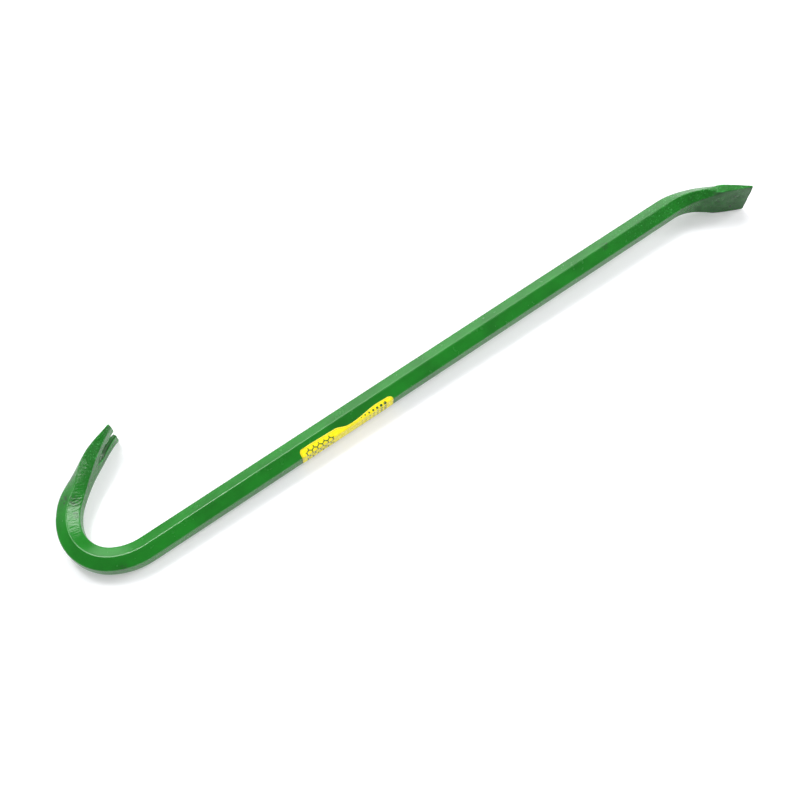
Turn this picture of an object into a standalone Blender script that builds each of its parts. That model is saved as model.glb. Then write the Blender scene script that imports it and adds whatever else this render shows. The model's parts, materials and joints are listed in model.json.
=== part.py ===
"""Gooseneck crowbar: one forged hexagonal steel bar with a nail claw and a bent chisel, and its stuck-on label.

The bar is drawn in its own plane: the shank runs along X, the hook curls to +Y, and Z is square to the bend.
The cross-section is a hexagon with corners at +Z and -Z and flats on the inside and outside of the bend.
At the end the whole bar is laid down on the ground as it would come to rest, with Z up.
"""

import math

import bmesh
import bpy
from mathutils import Matrix, Vector

# Bar stock
ACROSS_FLATS = 0.018
CORNER_RADIUS = 0.0014
RIDGE_LAND = 0.0009

# Straight shank, between the start of the hook and the start of the chisel bend
SHANK_LENGTH = 0.4927

# Hook, as arcs that follow each other: radius of the centre line and the angle it turns through
LEAD_IN_RADIUS = 0.048
LEAD_IN_ANGLE = math.radians(31.7)
CROWN_RADIUS = 0.0316
CROWN_ANGLE = math.radians(71.4)
RETURN_RADIUS = 0.0384
RETURN_ANGLE = math.radians(37.7)

# Claw: sizes at the tip, and how far from the tip each is full and where it has gone back to the bar's
CLAW_RADIUS = 0.190
CLAW_ANGLE = math.radians(18.35)
CLAW_TAPER_LENGTH = 0.077
CLAW_TIP_WIDTH = 0.0358
CLAW_TIP_THICKNESS = 0.0024
CLAW_CORNER_RADIUS = 0.0012
CLAW_INNER_FLAT = 0.0257
CLAW_INNER_FLAT_FULL = 0.0115
CLAW_INNER_FLAT_END = 0.054
CLAW_RIDGE_SHIFT = 0.70
CLAW_RIDGE_SHIFT_FULL = 0.031
CLAW_RIDGE_SHIFT_END = 0.050
CLAW_TIP_RIDGE_SHIFT = 0.30

# Nail slot in the claw: its outline on the inner face, and the bevel down to a narrower slot right through
SLOT_MOUTH = 0.0114
SLOT_SHOULDER = 0.0098
SLOT_SHOULDER_DEPTH = 0.018
SLOT_DEPTH = 0.0280
SLOT_BEVEL_DEPTH = 0.0026
SLOT_CORE_WIDTH_SHARE = 0.56
SLOT_CORE_DEPTH_SHARE = 0.90

# Chisel: sizes at the edge, with full and end distances from the edge as on the claw
CHISEL_BEND_RADIUS = 0.058
CHISEL_BEND_ANGLE = math.radians(32.0)
CHISEL_BLADE_LENGTH = 0.0402
CHISEL_TAPER_LENGTH = 0.080
CHISEL_TIP_WIDTH = 0.0330
CHISEL_TIP_WIDTH_FULL = 0.024
CHISEL_TIP_THICKNESS = 0.0018
CHISEL_FACE_WIDTH = 0.0316
CHISEL_FACE_WIDTH_FULL = 0.012
CHISEL_FACE_WIDTH_END = 0.064
CHISEL_TRIM_SHARE = 0.94
CHISEL_TRIM_FULL = 0.025
CHISEL_TRIM_END = 0.037
CHISEL_CORNER_RADIUS = 0.0026

# Label film, wrapped over the outer flat and part of the two flats beside it
LABEL_LENGTH = 0.083
LABEL_HEIGHT = 0.0205
LABEL_THICKNESS = 0.00025
LABEL_GAP = 0.0003
LABEL_CORNER_RADIUS = 0.0022
LABEL_TURN = math.radians(2.6)
LABEL_FROM_HOOK = 0.1295

# Fineness of the facets
CORNER_STEPS = 2
CORNER_ROOM = 0.42
SMOOTH_BELOW = math.radians(35)
BEND_STEP = math.radians(5.0)
TAPER_STEP = 0.0036
SLOT_NOSE_STEPS = 9
LABEL_CELL_ALONG = 0.006
LABEL_CELL_AROUND = 0.00095

# Paint and label film
PAINT_COLOUR = (0.050, 0.290, 0.062, 1.0)
PAINT_ROUGHNESS = 0.38
LABEL_COLOUR = (0.95, 0.80, 0.03, 1.0)
LABEL_ROUGHNESS = 0.45

# Sizes that follow
HALF_FLATS = ACROSS_FLATS / 2
HEX_SIDE = ACROSS_FLATS / math.sqrt(3)
HEX_WIDTH = 2 * HEX_SIDE


def clear_scene():
    for item in list(bpy.data.objects):
        bpy.data.objects.remove(item, do_unlink=True)


def new_collection(name):
    group = bpy.data.collections.new(name)
    bpy.context.scene.collection.children.link(group)
    return group


def new_material(name, colour, roughness, metallic):
    material = bpy.data.materials.new(name)
    material.use_nodes = True
    shader = material.node_tree.nodes["Principled BSDF"]
    shader.inputs["Base Color"].default_value = colour
    shader.inputs["Roughness"].default_value = roughness
    shader.inputs["Metallic"].default_value = metallic
    return material


def mix(first, second, share):
    return first + (second - first) * share


def ease(share):
    """Smooth step from 0 to 1."""
    share = min(max(share, 0.0), 1.0)
    return share * share * (3 - 2 * share)


def fade(left, full, end):
    """1 from the tip up to the distance full, then smoothly down to 0 at the distance end."""
    return 1 - ease((left - full) / (end - full))


def drawn_taper(share):
    """Hammered taper: straight at the tip (0) and running level into the bar (1)."""
    share = min(max(share, 0.0), 1.0)
    return 1.25 * share - 0.25 * share ** 5


class Station:
    """One place on the centre line, with the direction of travel and the side that faces into the bend."""

    def __init__(self, place, heading):
        self.place = place
        self.heading = heading
        self.inward = Vector((math.sin(heading), -math.cos(heading), 0.0))

    def point(self, across, up):
        return self.place + self.inward * across + Vector((0.0, 0.0, up))


def arc_lengths(total, step):
    count = max(2, math.ceil(total / step))
    return [total * index / count for index in range(count + 1)]


def walk(start, heading, radius, angle, distances):
    """Stations along an arc that turns clockwise, seen from +Z, for a positive angle."""
    turn = math.copysign(1.0, angle)
    centre = start + Vector((math.sin(heading), -math.cos(heading), 0.0)) * radius * turn
    stations = []
    for distance in distances:
        now = heading - turn * distance / radius
        outward = Vector((-math.sin(now), math.cos(now), 0.0)) * turn
        stations.append(Station(centre + outward * radius, now))
    return stations


def fine_steps(corner):
    """Distances from a tip at which a rounded corner of this radius needs a cross-section."""
    return [corner * (1 - math.cos(math.radians(degrees))) for degrees in (0, 20, 40, 60, 90)]


def round_off(left, corner):
    """How far a rounded corner has pulled the side in, at a distance left to the tip."""
    short = max(corner - left, 0.0)
    return corner - math.sqrt(corner ** 2 - short ** 2)


def hook_arcs():
    """The arcs of the hook in order: where each starts, its heading there, its radius and its angle."""
    sizes = [
        (LEAD_IN_RADIUS, LEAD_IN_ANGLE),
        (CROWN_RADIUS, CROWN_ANGLE),
        (RETURN_RADIUS, RETURN_ANGLE),
        (CLAW_RADIUS, CLAW_ANGLE),
    ]
    place = Vector((0.0, 0.0, 0.0))
    heading = math.pi
    arcs = []
    for radius, angle in sizes:
        arcs.append((place, heading, radius, angle))
        last = walk(place, heading, radius, angle, [radius * angle])[0]
        place = last.place
        heading = last.heading
    return arcs


def hook_path():
    """Centre line from the end of the shank to the claw's tip, with the distance that is left to the tip."""
    arcs = hook_arcs()
    left = sum(radius * angle for place, heading, radius, angle in arcs)
    fine = fine_steps(CLAW_CORNER_RADIUS)
    path = []
    for place, heading, radius, angle in arcs:
        length = radius * angle
        distances = arc_lengths(length, min(radius * BEND_STEP, TAPER_STEP))
        if left - length < fine[-1]:
            distances = distances[:-1] + [length - step for step in reversed(fine)]
        for station, distance in zip(walk(place, heading, radius, angle, distances), distances):
            if not path or distance > 0.0:
                path.append((station, left - distance))
        left -= length
    return path


def claw_station(left):
    """The station of the claw at a distance left to its tip, or past the tip where it is negative."""
    place, heading, radius, angle = hook_arcs()[-1]
    return walk(place, heading, radius, angle, [radius * angle - left])[0]


def chisel_path():
    """Centre line from the far end of the shank to the chisel's edge, with the distance left to the edge."""
    bend_length = CHISEL_BEND_RADIUS * CHISEL_BEND_ANGLE
    total = bend_length + CHISEL_BLADE_LENGTH
    start = Vector((SHANK_LENGTH, 0.0, 0.0))
    distances = arc_lengths(bend_length, TAPER_STEP)
    stations = walk(start, 0.0, CHISEL_BEND_RADIUS, CHISEL_BEND_ANGLE, distances)
    path = [(station, total - distance) for station, distance in zip(stations, distances)]
    last = stations[-1]
    ahead = Vector((math.cos(last.heading), math.sin(last.heading), 0.0))
    fine = fine_steps(CHISEL_CORNER_RADIUS)
    coarse = [left for left in arc_lengths(CHISEL_BLADE_LENGTH, TAPER_STEP) if left > fine[-1] + TAPER_STEP / 3]
    for left in reversed(fine + coarse):
        if left < CHISEL_BLADE_LENGTH - TAPER_STEP / 3:
            place = last.place + ahead * (CHISEL_BLADE_LENGTH - left)
            path.append((Station(place, last.heading), left))
    return path


class Section:
    """An eight-cornered cross-section: two flats, and a narrow land on each ridge."""

    def __init__(self, thickness, width, inner, outer, ridge=0.0, land=RIDGE_LAND, trim=0.0):
        self.side = thickness / 2
        self.crest = width / 2
        self.inner = inner
        self.outer = outer
        self.ridge = ridge
        self.land = land
        self.trim = trim

    def half(self, crest, sign):
        """Corners of the upper or lower half, from the inner flat over the ridge to the outer flat."""
        corners = [
            (self.side, min(self.inner / 2, crest)),
            (self.ridge + self.land / 2, crest),
            (self.ridge - self.land / 2, crest),
            (-self.side, min(self.outer / 2, crest)),
        ]
        return [(across, sign * up) for across, up in corners]

    def corners(self):
        upper = self.half(self.crest, 1)
        lower = self.half(self.crest - self.trim, -1)
        return upper + lower[::-1]

    def outline(self):
        """The corners rounded off, with the same count of points for every section."""
        corners = [Vector(corner) for corner in self.corners()]
        points = []
        for index, corner in enumerate(corners):
            before = corners[index - 1]
            after = corners[(index + 1) % len(corners)]
            points.extend(rounded_corner(before, corner, after))
        return points


def rounded_corner(before, corner, after):
    """Points of a fillet at a corner, as large as CORNER_RADIUS or as its two sides allow."""
    into = (before - corner).normalized()
    out = (after - corner).normalized()
    half_angle = into.angle(out) / 2
    room = CORNER_ROOM * min((before - corner).length, (after - corner).length)
    setback = min(CORNER_RADIUS / math.tan(half_angle), room)
    radius = setback * math.tan(half_angle)
    bisector = (into + out).normalized()
    centre = corner + bisector * (radius / math.sin(half_angle))
    first = corner + into * setback - centre
    last = corner + out * setback - centre
    sweep = first.angle_signed(last)
    points = []
    for step in range(CORNER_STEPS + 1):
        turn = Matrix.Rotation(-sweep * step / CORNER_STEPS, 2)
        points.append(centre + turn @ first)
    return points


def claw_thickness(left):
    return mix(CLAW_TIP_THICKNESS, ACROSS_FLATS, drawn_taper(left / CLAW_TAPER_LENGTH))


def claw_section(left):
    """Section of the hook and claw at a distance left to the tip: thinner, wider and with a broad back."""
    thickness = claw_thickness(left)
    width = mix(HEX_WIDTH, CLAW_TIP_WIDTH, max(1 - left / CLAW_TAPER_LENGTH, 0.0) ** 2)
    width -= 2 * round_off(left, CLAW_CORNER_RADIUS)
    inner = mix(HEX_SIDE, CLAW_INNER_FLAT, fade(left, CLAW_INNER_FLAT_FULL, CLAW_INNER_FLAT_END))
    spread = fade(left, CLAW_RIDGE_SHIFT_FULL, CLAW_RIDGE_SHIFT_END)
    shift = mix(CLAW_TIP_RIDGE_SHIFT, CLAW_RIDGE_SHIFT, ease(left / CLAW_RIDGE_SHIFT_FULL))
    chamfer = (1 - shift) * thickness / 2
    outer = mix(HEX_SIDE, width - 2 * chamfer, spread)
    return Section(thickness, width, inner, outer, -spread * shift * thickness / 2, min(RIDGE_LAND, chamfer))


def chisel_section(left):
    """Section of the chisel at a distance left to its edge: its sides are trimmed flat near the edge."""
    thickness = mix(CHISEL_TIP_THICKNESS, ACROSS_FLATS, drawn_taper(left / CHISEL_TAPER_LENGTH))
    width = mix(HEX_WIDTH, CHISEL_TIP_WIDTH, fade(left, CHISEL_TIP_WIDTH_FULL, CHISEL_TAPER_LENGTH))
    face = mix(HEX_SIDE, CHISEL_FACE_WIDTH, fade(left, CHISEL_FACE_WIDTH_FULL, CHISEL_FACE_WIDTH_END))
    trimmed = fade(left, CHISEL_TRIM_FULL, CHISEL_TRIM_END)
    land = mix(RIDGE_LAND, CHISEL_TRIM_SHARE * thickness, trimmed)
    return Section(thickness, width, face, face, 0.0, land, round_off(left, CHISEL_CORNER_RADIUS))


def bar_rings():
    """All cross-sections in order, from the chisel's edge along the shank to the claw's tip."""
    rings = []
    for station, left in reversed(chisel_path()):
        outline = chisel_section(left).outline()
        rings.append([station.point(-across, up) for across, up in outline])
    for station, left in hook_path():
        outline = claw_section(left).outline()
        rings.append([station.point(across, up) for across, up in outline])
    return rings


def loft(name, rings):
    """Skin the rings with quads and close both ends."""
    mesh = bpy.data.meshes.new(name)
    shape = bmesh.new()
    loops = [[shape.verts.new(point) for point in ring] for ring in rings]
    for first, second in zip(loops, loops[1:]):
        count = len(first)
        for index in range(count):
            after = (index + 1) % count
            shape.faces.new((first[index], first[after], second[after], second[index]))
    shape.faces.new(loops[0][::-1])
    shape.faces.new(loops[-1])
    bmesh.ops.recalc_face_normals(shape, faces=shape.faces)
    shape.to_mesh(mesh)
    shape.free()
    return mesh


def slot_outline():
    """Nail slot on the claw's inner face: depth from the tip, half width; a V with a curved nose."""
    over = SLOT_DEPTH / 4
    slope = (SLOT_MOUTH - SLOT_SHOULDER) / 2 / SLOT_SHOULDER_DEPTH
    side = [(-over, SLOT_MOUTH / 2 + slope * over), (SLOT_SHOULDER_DEPTH, SLOT_SHOULDER / 2)]
    for step in range(1, SLOT_NOSE_STEPS):
        share = step / SLOT_NOSE_STEPS
        depth = mix(SLOT_SHOULDER_DEPTH, SLOT_DEPTH, share)
        side.append((depth, SLOT_SHOULDER / 2 * (1 - share ** 2)))
    return side + [(SLOT_DEPTH, 0.0)] + [(depth, -half) for depth, half in reversed(side)]


def slot_ring(lift, width_share, depth_share):
    """The slot's outline at a height over the claw's inner face, following the curve of that face."""
    ring = []
    for depth, half in slot_outline():
        left = depth * depth_share
        face = claw_thickness(max(left, 0.0)) / 2
        ring.append(claw_station(left).point(face + lift, half * width_share))
    return ring


def slot_cutter(collection):
    """What is cut out of the claw: a bevelled rim, and below it the narrower slot right through."""
    slope_width = (1 - SLOT_CORE_WIDTH_SHARE) / SLOT_BEVEL_DEPTH
    slope_depth = (1 - SLOT_CORE_DEPTH_SHARE) / SLOT_BEVEL_DEPTH
    over = SLOT_BEVEL_DEPTH
    rings = [
        slot_ring(over, 1 + over * slope_width, 1 + over * slope_depth),
        slot_ring(-SLOT_BEVEL_DEPTH, SLOT_CORE_WIDTH_SHARE, SLOT_CORE_DEPTH_SHARE),
        slot_ring(-ACROSS_FLATS, SLOT_CORE_WIDTH_SHARE, SLOT_CORE_DEPTH_SHARE),
    ]
    cutter = bpy.data.objects.new("nail_slot_cutter", loft("nail_slot_cutter", rings))
    cutter.hide_render = True
    cutter.display_type = "WIRE"
    collection.objects.link(cutter)
    return cutter


def make_bar(parts, cutters, paint):
    mesh = loft("forged_bar", bar_rings())
    bar = bpy.data.objects.new("forged_bar", mesh)
    parts.objects.link(bar)
    bar.data.materials.append(paint)
    cut = bar.modifiers.new("nail_slot", "BOOLEAN")
    cut.operation = "DIFFERENCE"
    cut.solver = "EXACT"
    cut.object = slot_cutter(cutters)
    mesh.shade_smooth()
    mesh.set_sharp_from_angle(angle=SMOOTH_BELOW)
    return bar


def label_point(along, around, lift):
    """A point on the label: around is measured over the flats from the middle of the outer flat."""
    radius = CORNER_RADIUS + lift
    straight = HEX_SIDE / 2 - CORNER_RADIUS * math.tan(math.radians(30))
    bend = radius * math.radians(60)
    run = abs(around)
    side = math.copysign(1.0, around)
    if run <= straight:
        across = -(HALF_FLATS + lift)
        up = run
    else:
        turn = min((run - straight) / bend, 1.0) * math.radians(60)
        past = max(run - straight - bend, 0.0)
        centre = -(HALF_FLATS - CORNER_RADIUS)
        across = centre - radius * math.cos(turn) + past * math.sin(turn)
        up = straight + radius * math.sin(turn) + past * math.cos(turn)
    return Vector((along, across, side * up))


def rounded_limit(offset, half_size, radius):
    """How much shorter a row of the label is where its corners are rounded."""
    into = abs(offset) - (half_size - radius)
    if into <= 0:
        return 0.0
    return radius - math.sqrt(max(radius ** 2 - into ** 2, 0.0))


def make_label(parts, film):
    """A sheet laid round the bar, with its thickness given by Solidify."""
    columns = math.ceil(LABEL_LENGTH / LABEL_CELL_ALONG)
    rows = math.ceil(LABEL_HEIGHT / LABEL_CELL_AROUND)
    mesh = bpy.data.meshes.new("label")
    shape = bmesh.new()
    grid = []
    for row in range(rows + 1):
        height = LABEL_HEIGHT * (row / rows - 0.5)
        shorter = rounded_limit(height, LABEL_HEIGHT / 2, LABEL_CORNER_RADIUS)
        half = LABEL_LENGTH / 2 - shorter
        line = []
        for column in range(columns + 1):
            length = half * (2 * column / columns - 1)
            along = length * math.cos(LABEL_TURN) + height * math.sin(LABEL_TURN)
            around = height * math.cos(LABEL_TURN) - length * math.sin(LABEL_TURN)
            middle = LABEL_FROM_HOOK + LABEL_LENGTH / 2
            line.append(shape.verts.new(label_point(middle + along, around, LABEL_GAP)))
        grid.append(line)
    for low, high in zip(grid, grid[1:]):
        for column in range(columns):
            shape.faces.new((low[column], low[column + 1], high[column + 1], high[column]))
    shape.to_mesh(mesh)
    shape.free()
    label = bpy.data.objects.new("label", mesh)
    parts.objects.link(label)
    label.data.materials.append(film)
    wall = label.modifiers.new("thickness", "SOLIDIFY")
    wall.thickness = LABEL_THICKNESS
    wall.offset = 1.0
    mesh.shade_smooth()
    return label


def centre_of_mass(mesh):
    """Volume centroid of a closed mesh."""
    mesh.calc_loop_triangles()
    volume = 0.0
    moment = Vector((0.0, 0.0, 0.0))
    for triangle in mesh.loop_triangles:
        first, second, third = (mesh.vertices[index].co for index in triangle.vertices)
        part = first.dot(second.cross(third)) / 6
        volume += part
        moment += (first + second + third) / 4 * part
    return moment / volume


def resting_normal(mesh):
    """Outward normal of the hull face that lies under the centre of mass when the bar lies on its side."""
    centre = centre_of_mass(mesh)
    hull = bmesh.new()
    hull.from_mesh(mesh)
    result = bmesh.ops.convex_hull(hull, input=hull.verts)
    faces = [item for item in result["geom"] if isinstance(item, bmesh.types.BMFace)]
    bmesh.ops.recalc_face_normals(hull, faces=faces)
    best = None
    for face in faces:
        normal = face.normal.copy()
        if normal.z > -0.5:
            continue
        drop = (face.verts[0].co - centre).dot(normal)
        foot = centre + normal * drop
        inside = min(
            (edge_to.co - edge_from.co).cross(foot - edge_from.co).dot(normal)
            for edge_from, edge_to in zip(face.verts, list(face.verts[1:]) + [face.verts[0]])
        )
        if best is None or inside > best[0]:
            best = (inside, normal)
    hull.free()
    return best[1]


def lay_down(bar, pieces):
    """Turn the bar on to its resting face, its shank along X, and centre it on the ground."""
    depsgraph = bpy.context.evaluated_depsgraph_get()
    mesh = bpy.data.meshes.new_from_object(bar.evaluated_get(depsgraph))
    tilt = resting_normal(mesh).rotation_difference(Vector((0.0, 0.0, -1.0))).to_matrix()
    shank = tilt @ Vector((1.0, 0.0, 0.0))
    yaw = Matrix.Rotation(-math.atan2(shank.y, shank.x), 3, "Z")
    turn = yaw @ tilt
    points = [turn @ vertex.co for vertex in mesh.vertices]
    low = Vector([min(point[axis] for point in points) for axis in range(3)])
    high = Vector([max(point[axis] for point in points) for axis in range(3)])
    shift = Vector(((low.x + high.x) / 2, (low.y + high.y) / 2, low.z))
    bpy.data.meshes.remove(mesh)
    frame = bpy.data.objects.new("bar_frame", None)
    bpy.context.scene.collection.objects.link(frame)
    frame.matrix_world = Matrix.Translation(-shift) @ turn.to_4x4()
    for piece in pieces:
        piece.parent = frame
    bpy.context.view_layer.update()
    return frame


def main():
    clear_scene()
    parts = new_collection("crowbar")
    cutters = new_collection("crowbar_cutters")
    paint = new_material("green_paint", PAINT_COLOUR, PAINT_ROUGHNESS, 0.0)
    film = new_material("label_film", LABEL_COLOUR, LABEL_ROUGHNESS, 0.0)
    bar = make_bar(parts, cutters, paint)
    label = make_label(parts, film)
    bpy.context.view_layer.update()
    frame = lay_down(bar, [bar, label])
    for cutter in cutters.objects:
        cutter.parent = frame
    bpy.context.view_layer.update()


main()
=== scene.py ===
# %% [markdown]
# # A painted gooseneck crowbar
#
# This lesson dresses a forged crowbar. The bar's solid shape is already made, so the work here is
# what a smith and a painter leave on it: hammer marks, softened edges, glossy green enamel and a
# yellow label. Every length is in metres, and the bar lies on its side on the floor at z = 0.

# %% Load the bar
import json
import math

import bmesh
import bpy
from mathutils import Matrix, Vector, noise


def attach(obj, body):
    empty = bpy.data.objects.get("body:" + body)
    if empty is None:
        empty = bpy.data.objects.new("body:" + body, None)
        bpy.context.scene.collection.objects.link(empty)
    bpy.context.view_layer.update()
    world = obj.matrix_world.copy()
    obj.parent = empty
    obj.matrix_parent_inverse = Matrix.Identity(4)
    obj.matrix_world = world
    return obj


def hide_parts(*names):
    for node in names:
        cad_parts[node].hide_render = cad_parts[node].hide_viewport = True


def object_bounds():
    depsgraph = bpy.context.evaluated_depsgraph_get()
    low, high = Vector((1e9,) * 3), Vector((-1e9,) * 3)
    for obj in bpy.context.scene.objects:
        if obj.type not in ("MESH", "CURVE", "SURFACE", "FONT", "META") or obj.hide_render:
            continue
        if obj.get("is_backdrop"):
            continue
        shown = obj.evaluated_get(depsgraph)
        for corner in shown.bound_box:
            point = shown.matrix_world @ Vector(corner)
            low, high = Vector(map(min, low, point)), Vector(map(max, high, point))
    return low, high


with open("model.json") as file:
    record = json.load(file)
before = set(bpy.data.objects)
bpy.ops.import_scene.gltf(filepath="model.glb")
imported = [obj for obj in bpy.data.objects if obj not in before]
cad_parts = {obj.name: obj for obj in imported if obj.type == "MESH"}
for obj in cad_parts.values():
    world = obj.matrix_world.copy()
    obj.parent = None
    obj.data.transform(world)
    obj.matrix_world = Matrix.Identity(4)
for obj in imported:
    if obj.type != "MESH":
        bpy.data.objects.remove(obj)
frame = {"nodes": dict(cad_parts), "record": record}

solid_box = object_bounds()
bar_solid = frame["nodes"]["forged_bar"]
print("solid bar:", len(bar_solid.data.polygons), "triangles")

# %% [markdown]
# ## Camera
#
# The camera stands in front of the hook and looks down at the bar, a little turned, as a
# photographer does who leans over a table. A 53 mm lens on a 36 mm frame keeps the far end from
# shrinking too much. Four facts place the camera: where it stands, what it looks at, its roll and
# its lens.

# %% Camera
CAMERA_PLACE = Vector((-0.25968, -0.38926, 0.81676))
CAMERA_AIM = Vector((-0.03614, -0.04104, 0.010))
CAMERA_ROLL = math.radians(-3.289)
CAMERA_LENS = 53.154
CAMERA_FRAME = 36.0


def add_camera():
    data = bpy.data.cameras.new("camera")
    data.lens = CAMERA_LENS
    data.sensor_width = CAMERA_FRAME
    camera = bpy.data.objects.new("camera", data)
    bpy.context.scene.collection.objects.link(camera)
    aimed = (CAMERA_AIM - CAMERA_PLACE).to_track_quat("-Z", "Y").to_matrix().to_4x4()
    rolled = Matrix.Rotation(CAMERA_ROLL, 4, "Z")
    camera.matrix_world = Matrix.Translation(CAMERA_PLACE) @ aimed @ rolled
    bpy.context.scene.camera = camera


add_camera()
print("camera distance to its aim:", round((CAMERA_AIM - CAMERA_PLACE).length, 3), "m")

# %% [markdown]
# ## Helpers for materials
#
# A shader tree is a list of nodes and links. Small helpers keep the recipes short. The first makes
# a fresh material, and the second adds a node and sets its sockets by name or by number. The others
# wrap the few nodes that the recipes use most: a blend of two colours, a soft step, arithmetic,
# noise, and the part of a direction along one axis.


# %% Material helpers
def new_material(name):
    """A fresh material, its node tree and its Principled shader."""
    material = bpy.data.materials.new(name)
    material.use_nodes = True
    tree = material.node_tree
    return material, tree, tree.nodes["Principled BSDF"]


def add_node(tree, kind, options=None, **sockets):
    """Adds a node. Options set its properties. A socket gets a value or a link to an output."""
    node = tree.nodes.new("ShaderNode" + kind)
    for key, value in (options or {}).items():
        setattr(node, key, value)
    for key, value in sockets.items():
        numbered = key[0] == "i" and key[1:].isdigit()
        socket = node.inputs[int(key[1:])] if numbered else node.inputs[key]
        if isinstance(value, bpy.types.NodeSocket):
            tree.links.new(value, socket)
        else:
            socket.default_value = value
    return node


# %% Short names for the nodes that are used most
def blend_colours(tree, share, first, second):
    """A colour that goes from first to second as share goes from 0 to 1."""
    node = add_node(tree, "Mix", {"data_type": "RGBA"}, i0=share, i6=first, i7=second)
    return node.outputs[2]


def ramp(tree, value, low, high):
    """0 below low, 1 above high, and a soft step between them. It also works turned round."""
    options = {"interpolation_type": "SMOOTHSTEP"}
    node = add_node(tree, "MapRange", options, i0=value, i1=low, i2=high)
    return node.outputs[0]


def calculate(tree, operation, first, second=0.0):
    """One step of arithmetic. Some operations, such as ABSOLUTE, take the first value only."""
    return add_node(tree, "Math", {"operation": operation}, i0=first, i1=second).outputs[0]


def multiply(tree, first, *others):
    """The product of two or more values."""
    product = first
    for factor in others:
        product = calculate(tree, "MULTIPLY", product, factor)
    return product


def noise_value(tree, place, scale, detail, roughness):
    """Noise between 0 and 1 with marks of about 1 / scale metres."""
    node = add_node(tree, "TexNoise", Vector=place, Scale=scale, Detail=detail, Roughness=roughness)
    return node.outputs["Fac"]


def along_axis(tree, vector, axis):
    """The X, Y or Z part of a place or direction."""
    return add_node(tree, "SeparateXYZ", Vector=vector).outputs[axis]


def faces_along(tree, axis):
    """1 where the surface faces along an axis, 0 where it faces sideways, -1 where backwards."""
    return along_axis(tree, add_node(tree, "NewGeometry").outputs["Normal"], axis)


# %% [markdown]
# ## Floor
#
# The object lies on a plain white sheet that reaches past every view. Its far edges are turned up,
# as on a studio backdrop, so that a low camera sees a pale ground behind the bar too. A faint
# cloudiness keeps it from looking like empty space. In a photo studio such a sheet is lit from
# below or from behind until it turns white. Here Light Path does that: the sheet glows a little,
# but only for the camera, for reflections and for rays through glass. So it adds nothing to the
# soft light on the bar, and the shadow stays.

# %% Floor
WHITE = (1.0, 1.0, 1.0, 1.0)
FLOOR_REACH = 8.0
SHEET_RISE = 1.3
FLOOR_COLOUR = (0.70, 0.70, 0.725, 1.0)
FLOOR_GLOW = 0.34
FLOOR_ROUGHNESS = 0.9
FLOOR_SHINE = 0.1
# A noise is three numbers: its marks per metre, its detail and its roughness.
FLOOR_CLOUD = (30.0, 2.0, 0.5)
FLOOR_DARKER = 0.985


def seen_directly(tree, strength):
    """A strength that only camera rays, reflections and rays through glass meet."""
    rays = add_node(tree, "LightPath").outputs
    seen = calculate(tree, "ADD", rays["Is Camera Ray"], rays["Is Glossy Ray"])
    seen = calculate(tree, "ADD", seen, rays["Is Transmission Ray"])
    return multiply(tree, seen, strength)


def sheet_mesh():
    """A square sheet with its four edges turned straight up."""
    mesh = bpy.data.meshes.new("floor")
    shape = bmesh.new()
    bmesh.ops.create_grid(shape, x_segments=1, y_segments=1, size=FLOOR_REACH)
    raised = bmesh.ops.extrude_edge_only(shape, edges=shape.edges[:])
    rim = [item for item in raised["geom"] if isinstance(item, bmesh.types.BMVert)]
    bmesh.ops.translate(shape, verts=rim, vec=(0.0, 0.0, SHEET_RISE))
    shape.to_mesh(mesh)
    shape.free()
    return mesh


def sheet_material():
    material, tree, shader = new_material("white_sheet")
    place = add_node(tree, "TexCoord").outputs["Object"]
    cloud = noise_value(tree, place, *FLOOR_CLOUD)
    darker = tuple(FLOOR_DARKER * part for part in FLOOR_COLOUR[:3]) + (1.0,)
    colour = blend_colours(tree, cloud, darker, FLOOR_COLOUR)
    tree.links.new(colour, shader.inputs["Base Color"])
    shader.inputs["Roughness"].default_value = FLOOR_ROUGHNESS
    shader.inputs["Specular IOR Level"].default_value = FLOOR_SHINE
    shader.inputs["Emission Color"].default_value = WHITE
    tree.links.new(seen_directly(tree, FLOOR_GLOW), shader.inputs["Emission Strength"])
    return material


def add_floor():
    mesh = sheet_mesh()
    mesh.materials.append(sheet_material())
    floor = bpy.data.objects.new("floor", mesh)
    bpy.context.scene.collection.objects.link(floor)
    floor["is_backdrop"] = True


add_floor()
print("floor reaches", FLOOR_REACH, "m each way")

# %% [markdown]
# ## Light
#
# The room is a pale grey dome. Soft boxes stand around the bar: one right above, the strongest one
# high behind, and others low behind and on both sides. Together they give a close, soft shadow,
# make the facets that face up and back bright, and leave those that face the camera deep green.
# Four smaller lamps draw the highlights in the gloss. Two high behind give the bright line along
# the ridge, one on the right whitens the inside of the hook's leg, and one in front is caught by
# the grains of the paint.

# %% Light
DOME_STRENGTH = 0.29
LAMP_DISTANCE = 2.0
LAMPS = [
    # name, where its light comes from, strength, spread in degrees
    ("top_box", Vector((0.00, 0.05, 1.00)), 0.20, 60),
    ("key_box", Vector((0.27, 0.60, 0.75)), 1.06, 36),
    ("right_box", Vector((0.80, 0.00, 0.60)), 0.06, 50),
    ("left_box", Vector((-0.30, 0.78, 0.55)), 0.34, 50),
    ("back_box", Vector((0.00, 0.90, 0.35)), 0.08, 40),
    ("edge_box", Vector((0.42, 0.88, 0.26)), 0.54, 34),
    ("ridge_lamp", Vector((0.02, 0.45, 0.89)), 0.85, 10),
    ("leg_lamp", Vector((-0.03, 0.34, 0.94)), 0.65, 13),
    ("hook_lamp", Vector((0.73, -0.15, 0.64)), 1.38, 24),
    ("glitter_lamp", Vector((0.35, -0.35, 0.87)), 0.28, 8),
]


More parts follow.
